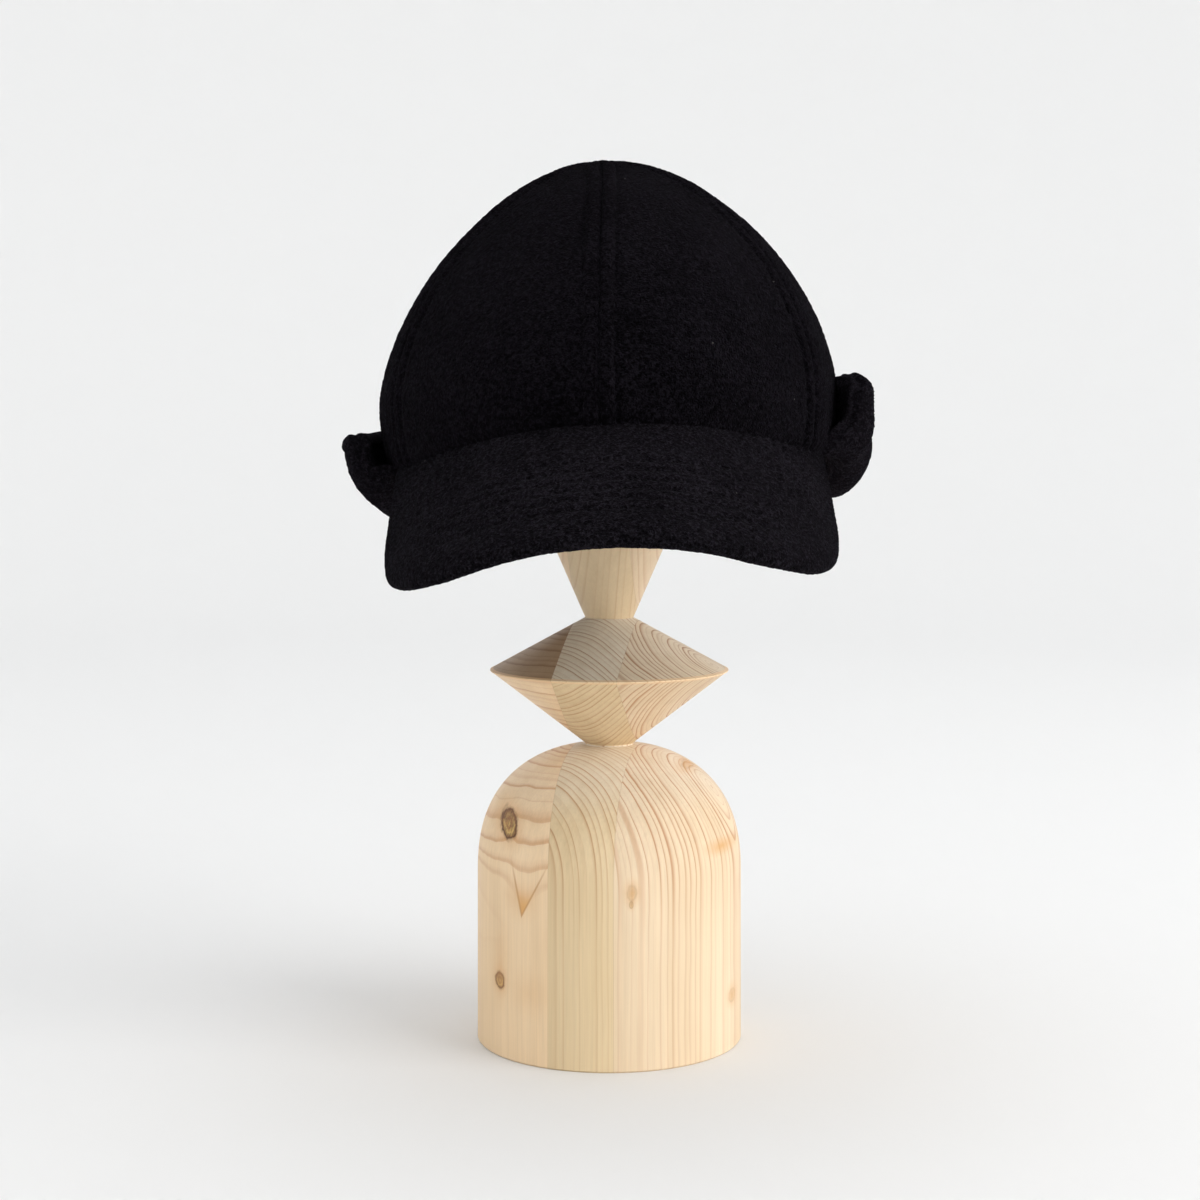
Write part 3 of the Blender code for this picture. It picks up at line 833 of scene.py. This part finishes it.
def new_material(name, roughness, specular):
    material = bpy.data.materials.new(name)
    material.use_nodes = True
    shader = material.node_tree.nodes["Principled BSDF"]
    shader.inputs["Roughness"].default_value = roughness
    shader.inputs["Specular IOR Level"].default_value = specular
    return material, shader


def add(kind, inputs, **settings):
    """Adds a node to the tree of its linked inputs, with its settings and its inputs' values."""
    linked = [value for value in inputs.values() if isinstance(value, bpy.types.NodeSocket)]
    tree = linked[0].id_data
    node = tree.nodes.new("ShaderNode" + kind)
    for key, value in settings.items():
        setattr(node, key, value)
    for key, value in inputs.items():
        if value in linked:
            tree.links.new(value, node.inputs[key])
        else:
            node.inputs[key].default_value = value
    return node.outputs


def maths(operation, first, second=0.0, third=0.0):
    return add("Math", {0: first, 1: second, 2: third}, operation=operation)[0]


def times(first, second):
    return maths("MULTIPLY", first, second)


def minus(first, second):
    return maths("SUBTRACT", first, second)


def line_of(value, slope, start):
    return maths("MULTIPLY_ADD", value, slope, start)


def eased_between(value, low, high):
    """0 below low, 1 above high and a soft step between."""
    return add("MapRange", {0: value, 1: low, 2: high, 3: 0.0, 4: 1.0},
               interpolation_type="SMOOTHSTEP")[0]


def outside_of(value, low, high):
    """1 below low, 0 above high and a soft step between."""
    return minus(1.0, eased_between(value, low, high))


def ramp(factor, *stops):
    """A colour ramp with (place, grey or colour) stops."""
    colour = add("ValToRGB", {"Fac": factor})["Color"]
    elements = colour.node.color_ramp.elements
    while len(elements) > 1:
        elements.remove(elements[0])
    for number, (place, shade) in enumerate(stops):
        element = elements[0] if number == 0 else elements.new(place)
        element.position = place
        grey = isinstance(shade, (int, float))
        element.color = (shade, shade, shade, 1) if grey else (*shade, 1)
    return colour


def mix(factor, first, second, blend="MIX"):
    return add("Mix", {0: factor, 6: first, 7: second}, data_type="RGBA",
               blend_type=blend)[2]


def noise(vector, scale, detail, roughness=0.5, distortion=0.0):
    return add("TexNoise", {"Vector": vector, "Scale": scale, "Detail": detail,
                            "Roughness": roughness, "Distortion": distortion})["Fac"]


def noise_along(value, detail):
    return add("TexNoise", {"W": value, "Scale": 1.0, "Detail": detail},
               noise_dimensions="1D")["Fac"]


def with_vectors(operation, first, second=(0.0, 0.0, 0.0)):
    return add("VectorMath", {0: first, 1: second}, operation=operation)


def new_group(name, inputs, outputs):
    """An effect that materials share. Inputs are numbers, or vectors where the value is None."""
    group = bpy.data.node_groups.new(name, "ShaderNodeTree")
    for label, value in inputs.items():
        kind = "NodeSocketVector" if value is None else "NodeSocketFloat"
        socket = group.interface.new_socket(label, in_out="INPUT", socket_type=kind)
        if value is not None:
            socket.default_value = value
    for label in outputs:
        group.interface.new_socket(label, in_out="OUTPUT", socket_type="NodeSocketFloat")
    given = group.nodes.new("NodeGroupInput").outputs
    return group, given, group.nodes.new("NodeGroupOutput").inputs


def object_place(shader):
    return shader.id_data.nodes.new("ShaderNodeTexCoord").outputs["Object"]


def finish_material(shader, colour, height, strength, depth):
    relief = add("Bump", {"Height": height, "Strength": strength, "Distance": depth})
    shader.id_data.links.new(colour, shader.inputs["Base Color"])
    shader.id_data.links.new(relief["Normal"], shader.inputs["Normal"])


def felt_group():
    """Felted wool: its shade from matted fibres, and the height of its nap."""
    group, given, result = new_group("felted_wool", {"Vector": None}, ("Shade", "Height"))
    place = given["Vector"]
    fine = noise(place, 1500.0, 3.0, 0.65)
    tufts = noise(place, 720.0, 2.0, 0.7, 0.3)
    patches = noise(place, 45.0, 3.0)
    fibres = add("TexVoronoi", {"Vector": place, "Scale": 900.0}, feature="DISTANCE_TO_EDGE")
    strand = maths("MAXIMUM", line_of(fibres["Distance"], -4.0, 1.0), 0.0)
    height = line_of(strand, 0.25, line_of(tufts, 0.9, fine))
    shade = line_of(tufts, 0.75, times(fine, 0.65))
    group.links.new(line_of(patches, 0.15, shade), result["Shade"])
    group.links.new(height, result["Height"])
    return group


def wool(name, felt, dark, light, depth):
    """Black felted wool with a violet bloom at grazing light and a few flecks of lint."""
    material, shader = new_material(name, 1.0, 0.01)
    place = object_place(shader)
    cloth = add("Group", {"Vector": place}, node_tree=felt)
    shade = times(minus(cloth["Shade"], 0.64), 3.6)
    low = [a * 0.75 + b * 0.25 for a, b in zip(dark, light)]
    colour = ramp(shade, (0.0, dark), (0.45, low), (1.0, light))
    lint = add("TexVoronoi", {"Vector": place, "Scale": 170.0})
    chance = add("SeparateXYZ", {0: lint["Color"]})[0]
    fleck = times(maths("LESS_THAN", lint["Distance"], 0.055),
                  maths("GREATER_THAN", chance, 0.955))
    colour = mix(times(fleck, 0.6), colour, (0.10, 0.09, 0.085, 1))
    finish_material(shader, colour, cloth["Height"], 0.9, depth)
    shader.inputs["Sheen Weight"].default_value = 0.014
    shader.inputs["Sheen Roughness"].default_value = 0.45
    shader.inputs["Sheen Tint"].default_value = (0.80, 0.70, 0.90, 1)
    return material


def thread_material():
    material, shader = new_material("black_thread", 0.9, 0.05)
    colour = ramp(noise(object_place(shader), 2500.0, 1.0), (0.3, 0.001), (0.7, 0.004))
    shader.id_data.links.new(colour, shader.inputs["Base Color"])
    return material


def ring_group():
    """Growth rings round an upright pith: the band of late wood, and slow changes of colour."""
    group, given, result = new_group("growth_rings", {
        "Vector": None, "Pith": None, "Spacing": 0.002, "Warp": 0.001, "Push": 0.0,
    }, ("Late", "Cloud"))
    from_pith = with_vectors("SUBTRACT", given["Vector"], given["Pith"])[0]
    flat = with_vectors("MULTIPLY", from_pith, (1.0, 1.0, 0.0))[0]
    slow = with_vectors("MULTIPLY", from_pith, (1.0, 1.0, 0.35))[0]
    bend = times(minus(noise(slow, 60.0, 2.0), 0.5), given["Warp"])
    away = maths("ADD", with_vectors("LENGTH", flat)["Value"], bend)
    count = maths("DIVIDE", maths("ADD", away, given["Push"]), given["Spacing"])
    count = line_of(noise_along(times(count, 0.6), 1.0), 1.1, count)
    late = ramp(maths("FRACT", count), (0.0, 0.12), (0.10, 0.0), (0.50, 0.04),
                (0.74, 0.35), (0.90, 1.0), (0.97, 0.90), (1.0, 0.12))
    weight = ramp(noise_along(times(count, 1.3), 0.0), (0.32, 0.22), (0.62, 1.0))
    group.links.new(times(late, weight), result["Late"])
    group.links.new(noise(slow, 28.0, 3.0), result["Cloud"])
    return group


def knot_group():
    """A knot that comes out at the front: how far a point is from its axis, in knot widths."""
    group, given, result = new_group("knot", {
        "Vector": None, "Centre": None, "Half Width": 0.003, "Half Height": 0.005,
    }, ("Reach",))
    off = with_vectors("SUBTRACT", given["Vector"], given["Centre"])[0]
    parts = add("SeparateXYZ", {0: off})
    across = maths("DIVIDE", parts["X"], given["Half Width"])
    high = maths("DIVIDE", parts["Z"], given["Half Height"])
    reach = maths("SQRT", line_of(across, across, times(high, high)))
    wobble = minus(noise(given["Vector"], 420.0, 2.0), 0.5)
    reach = line_of(wobble, 0.6, reach)
    behind = maths("GREATER_THAN", parts["Y"], 0.0)
    group.links.new(line_of(behind, 20.0, reach), result["Reach"])
    return group


def flame(across, up):
    """Push of the left board's rings that makes the flame below its knot."""
    shift = times(eased_between(up, FLAME_LOW, FLAME_HIGH), -FLAME_SHIFT)
    off = minus(across, FLAME_ACROSS)
    rounded = maths("SQRT", line_of(off, off, FLAME_ROUND * FLAME_ROUND))
    slant = times(off, (FLAME_OPENS_RIGHT - FLAME_OPENS_LEFT) / 2)
    opening = line_of(rounded, (FLAME_OPENS_RIGHT + FLAME_OPENS_LEFT) / 2, slant)
    here = times(eased_between(up, 0.030, 0.050), outside_of(up, 0.063, 0.080))
    return line_of(opening, here, shift)


def resin_mark(across, up):
    """Line and warm filling of the pointed resin mark under the knot, as shares."""
    off = minus(across, RESIN_ACROSS)
    high = minus(up, RESIN_TIP)
    from_left = line_of(high, 1 / RESIN_LEFT_SLOPE, off)
    from_right = minus(times(high, 1 / RESIN_RIGHT_SLOPE), off)
    inside = maths("MINIMUM", from_left, from_right)
    line = outside_of(maths("ABSOLUTE", inside), RESIN_LINE * 0.3, RESIN_LINE * 1.7)
    fades = outside_of(high, RESIN_HEIGHT * 0.6, RESIN_HEIGHT * 1.5)
    filling = outside_of(high, RESIN_HEIGHT * 0.15, RESIN_HEIGHT * 0.70)
    filled = times(eased_between(inside, -0.0003, 0.0002), filling)
    return times(line, fades), filled


def knotted(colour, knots, place, up, fibre):
    """The wood's colour with the warm halos and cracked, dark hearts of its knots."""
    for across, height, wide, tall, dark, warm in KNOTS:
        knot = add("Group", {"Vector": place, "Centre": (across, 0.0, height),
                             "Half Width": wide, "Half Height": tall}, node_tree=knots)
        share = times(knot["Reach"], 0.4)
        halo = ramp(share, (0.0, warm), (0.4, warm * 0.55), (0.75, warm * 0.16), (1.0, 0.0))
        colour = mix(halo, colour, (0.70, 0.37, 0.13, 1))
        if not dark:
            continue
        heart = ramp(share, (0.0, (0.60, 0.39, 0.13)), (0.14, (0.42, 0.20, 0.07)),
                     (0.25, (0.66, 0.43, 0.15)), (0.36, (0.26, 0.11, 0.04)),
                     (0.41, (0.07, 0.032, 0.014)), (0.46, (0.38, 0.17, 0.06)))
        upper = eased_between(up, height - 0.1 * tall, height + 0.4 * tall)
        heart = mix(times(upper, 0.55), heart, (0.27, 0.12, 0.055, 1))
        cracks = mix(eased_between(fibre, 0.40, 0.52), (0.13, 0.065, 0.03, 1), heart)
        cover = ramp(share, (0.0, dark * 0.96), (0.40, dark), (0.46, dark * 0.40),
                     (0.54, 0.0))
        colour = mix(cover, colour, mix(0.55, heart, cracks))
    return colour


def wood(rings, knots):
    """Three glued softwood boards, turned in one piece."""
    material, shader = new_material("laminated_pale_wood", 0.5, 0.35)
    place = object_place(shader)
    across, deep, up = add("SeparateXYZ", {0: place})
    side = line_of(deep, -math.tan(BOARD_TURN), across)
    in_head = maths("GREATER_THAN", up, HEAD_START)
    straighter = times(deep, line_of(in_head, -0.8, 1.0))
    grain_place = add("CombineXYZ", {0: across, 1: straighter, 2: up})[0]
    strength = line_of(eased_between(up, 0.040, 0.088), 0.72, 0.34)
    strength = times(strength, line_of(in_head, -0.45, 1.0))
    upper_cone = times(eased_between(up, RIM_HEIGHT - 0.0005, RIM_HEIGHT + 0.0005),
                       minus(1.0, in_head))
    dome_top = times(eased_between(up, 0.086, 0.108), maths("LESS_THAN", up, NECK_HEIGHT))
    colours, lines = [], []
    for name, (pith, spacing, warp, early, late, cone_shade_share, pale_cone, dome_highlight_share) in BOARDS.items():
        push = flame(across, up) if name == "left" else 0.0
        board = add("Group", {"Vector": grain_place, "Pith": pith, "Spacing": spacing,
                              "Warp": warp, "Push": push}, node_tree=rings)
        line = times(board["Late"], strength)
        if name == "left":
            fainter = line_of(eased_between(up, 0.058, 0.072), 0.50, 0.22)
            line = times(line, fainter)
        colour = mix(line, (*early, 1), (*late, 1))
        # painted shade: the cap's shadow darkens and browns the upper cone and deepens its late-wood
        # lines, most on the left board
        cone_shade = times(upper_cone, line_of(line, 0.3, cone_shade_share))
        colour = mix(cone_shade, colour, (0.30, 0.175, 0.10, 1))
        # painted highlight: the dome's top is paled where it reflects the light; the upper cone is
        # paled by each board's own share
        pale = line_of(upper_cone, pale_cone, times(dome_top, dome_highlight_share))
        pale = times(pale, minus(1.0, line))
        colour = mix(pale, colour, (0.92, 0.86, 0.77, 1))
        cloud = ramp(board["Cloud"], (0.30, (0.95, 0.92, 0.87)), (0.70, (1.03, 1.03, 1.04)))
        colours.append(mix(1.0, colour, cloud, "MULTIPLY"))
        lines.append(line)
    right_of_left = maths("GREATER_THAN", side, LEFT_SEAM)
    right_of_centre = maths("GREATER_THAN", side, RIGHT_SEAM)
    colour, height = [
        mix(right_of_centre, mix(right_of_left, left, centre), right)
        for left, centre, right in (colours, lines)]
    stretched = with_vectors("MULTIPLY", place, (1.0, 1.0, 0.02))[0]
    fibre = noise(stretched, 1500.0, 3.0, 0.6)
    streak = noise(stretched, 220.0, 2.0)
    for shade in (ramp(fibre, (0.25, 0.93), (0.75, 1.04)),
                  ramp(streak, (0.3, (0.96, 0.94, 0.91)), (0.7, (1.03, 1.03, 1.03)))):
        colour = mix(1.0, colour, shade, "MULTIPLY")
    resin_line, resin = resin_mark(across, up)
    front = maths("LESS_THAN", deep, 0.0)
    # painted highlight: a warm bright line along the double cone's rim; the two glue seams are dark
    # joints of the wood
    for value, middle, half_width, share, tint in (
            (up, RIM_HEIGHT, 0.00075, 0.6, (0.93, 0.64, 0.36, 1)),
            (side, LEFT_SEAM, 0.00014, 0.22, (0.45, 0.28, 0.15, 1)),
            (side, RIGHT_SEAM, 0.00014, 0.22, (0.45, 0.28, 0.15, 1))):
        near = maths("ABSOLUTE", minus(value, middle))
        near = maths("LESS_THAN", near, half_width)
        colour = mix(times(near, share), colour, tint)
    # the head's darker tint is painted shade from the cap above it; the resin marks are the wood's
    # own
    for mask, share, tint in ((times(resin, front), 0.85, (0.78, 0.40, 0.11, 1)),
                              (times(resin_line, front), 0.70, (0.56, 0.28, 0.11, 1)),
                              (in_head, 0.35, (0.62, 0.46, 0.30, 1))):
        colour = mix(times(mask, share), colour, tint)
    colour = knotted(colour, knots, place, up, fibre)
    finish_material(shader, colour, height, 0.3, 0.0001)
    return material


def dress(piece, material):
    piece.data.materials.clear()
    piece.data.materials.append(material)
    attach(piece, "root")


# Stage, light and camera

def make_studio():
    """A round white cove, seamless from floor to wall, open at the top."""
    rows = [(0.0, 0.0), (1.6, 0.0)]
    for step in range(1, 13):
        turn = math.pi / 2 * step / 12
        rows.append((1.6 + 1.4 * math.sin(turn), 1.4 - 1.4 * math.cos(turn)))
    rows.append((3.0, 4.0))
    cove = turned_piece("studio_cove", rows, 96, 0.0001, inside=True)
    smooth(cove, 60)
    material, shader = new_material("matt_white_paper", 0.9, 0.5)
    shader.inputs["Base Color"].default_value = (0.86, 0.86, 0.855, 1)
    cove.data.materials.append(material)


def make_lights():
    """Soft daylight all round, and a window on the right."""
    world = bpy.data.worlds.new("soft_daylight")
    world.use_nodes = True
    background = world.node_tree.nodes["Background"].inputs
    background["Color"].default_value = (0.97, 0.98, 1.0, 1)
    background["Strength"].default_value = 1.15
    bpy.context.scene.world = world
    light = bpy.data.lights.new("window_right", "AREA")
    light.shape = "RECTANGLE"
    light.size, light.size_y = 1.8, 1.6
    light.energy = 34
    light.color = (1.0, 0.99, 0.97)
    lamp = placed("window_right", light)
    lamp.location = (1.9, -1.1, 0.9)
    towards = Vector((0, 0, 0.15)) - lamp.location
    lamp.rotation_euler = towards.to_track_quat("-Z", "Y").to_euler()


def make_camera():
    data = bpy.data.cameras.new("camera")
    data.sensor_width = 36
    data.lens = data.sensor_width * FOCAL_PIXELS / IMAGE_PIXELS
    data.shift_x = (IMAGE_PIXELS / 2 - AXIS_COLUMN) / IMAGE_PIXELS
    data.shift_y = (HORIZON_ROW - IMAGE_PIXELS / 2) / IMAGE_PIXELS
    data.clip_start = 0.01
    camera = placed("camera", data)
    camera.location = (0, -CAMERA_DISTANCE, CAMERA_HEIGHT)
    camera.rotation_euler = (math.pi / 2, 0, 0)
    bpy.context.scene.camera = camera


def main():
    felt = felt_group()
    crown_wool = wool("crown_wool", felt, (0.0004, 0.0004, 0.0005), (0.0088, 0.0077, 0.0104), 0.0013)
    peak_wool = wool("peak_wool", felt, (0.0005, 0.0005, 0.0006), (0.0165, 0.0145, 0.0188), 0.0015)
    # painted fill light: the flaps' wool is lighter than the crown's, most in its darkest tones, to
    # lift the shade in their pockets
    flap_wool = wool("flap_wool", felt, (0.0036, 0.0031, 0.0041), (0.0172, 0.0150, 0.0194), 0.0012)
    thread = thread_material()
    for number, place in enumerate(("front_right", "side_right", "back_right",
                                    "back_left", "side_left", "front_left")):
        first_angle = number * PANEL_ANGLE + PANEL_TURN
        panel = make_panel("crown_" + place, "panel_" + place, first_angle)
        dress(panel, crown_wool)
        stitching = crown_stitches("stitching_" + place, first_angle)
        dress(stitching, thread)
    peak = make_peak()
    dress(peak, peak_wool)
    dress(peak_stitches(), thread)
    for side in ("right", "left"):
        flap = make_flap("folded_flap_" + side, "ear_flap_" + side, side)
        dress(flap, flap_wool)
        dress(flap_stitches("flap_stitching_" + side, side), thread)
    dress(make_stand(), wood(ring_group(), knot_group()))
    make_studio()
    make_lights()
    make_camera()
    bpy.context.scene.view_settings.view_transform = "Standard"


main()
